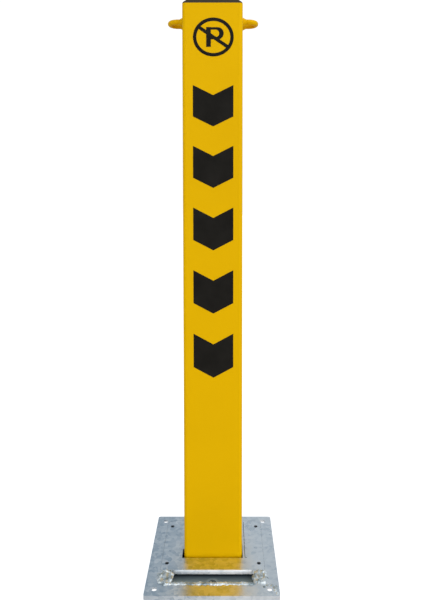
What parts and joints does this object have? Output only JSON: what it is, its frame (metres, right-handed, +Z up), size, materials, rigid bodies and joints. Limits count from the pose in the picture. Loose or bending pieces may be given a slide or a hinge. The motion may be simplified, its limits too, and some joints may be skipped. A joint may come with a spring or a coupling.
{
  "type": "folding parking lock",
  "caption": "Square parking post that folds back on a rear hinge in a flanged in-ground casing and is held upright by a quarter-turn key lock.",
  "frame": {"origin": "middle of the flange's outline, at the casing's floor", "axes": "+Z up along the upright post; the key slot and the marked face look along -Y; the post folds back towards +Y"},
  "size_m": [0.215, 0.215, 1.028],
  "materials": {
    "hot_dip_zinc": "hot-dip galvanised",
    "bright_zinc": "zinc plated",
    "dull_zinc": "weathered zinc",
    "weld_metal": "galvanised weld",
    "dark_screws": "blackened",
    "yellow_paint": "semi-gloss powder coat",
    "cap_plastic": "moulded, satin",
    "pad_rubber": "matt",
    "bronze": "machined",
    "black_film": "satin film"
  },
  "bodies": {
    "base": {"flange_plate": "hot_dip_zinc", "casing": "hot_dip_zinc", "cover_plate": "hot_dip_zinc", "foot_guides": "hot_dip_zinc", "cover_tabs": "hot_dip_zinc", "cover_screws": "dark_screws", "slot_gussets": "hot_dip_zinc", "weld_beads": "weld_metal", "lock_shelf": "dull_zinc", "lock_body": "dull_zinc", "lock_nut": "bright_zinc", "stop_ledges": "hot_dip_zinc", "stop_pads": "pad_rubber", "hinge_base": "hot_dip_zinc", "hinge_pin": "bright_zinc", "hinge_clip": "bright_zinc"},
    "lock": {"lock_spindle": "bronze", "lock_cam": "bright_zinc", "cam_washer": "bright_zinc", "cam_screw": "bright_zinc"},
    "post": {"post_tube": "yellow_paint", "top_cap": "cap_plastic", "chain_eye_left": "yellow_paint", "chain_eye_right": "yellow_paint", "foot_plate": "yellow_paint", "keeper": "bright_zinc", "keeper_screws": "bright_zinc", "keeper_nuts": "bright_zinc", "hinge_leaf": "hot_dip_zinc", "hinge_bushes": "bronze", "leaf_bolts": "bright_zinc", "leaf_nuts": "bright_zinc", "chevrons": "black_film", "no_parking_sign": "black_film"}
  },
  "joints": [
    {"name": "post_fold", "type": "hinge", "parent": "base", "child": "post", "pos_m": [0, 0.0985, 0.089], "axis": [-1, 0, 0], "range_deg": [0, 91]},
    {"name": "lock_turn", "type": "hinge", "parent": "base", "child": "lock", "pos_m": [0, -0.066, 0.054], "axis": [0, 0, 1], "range_deg": [0, 90]}
  ]
}
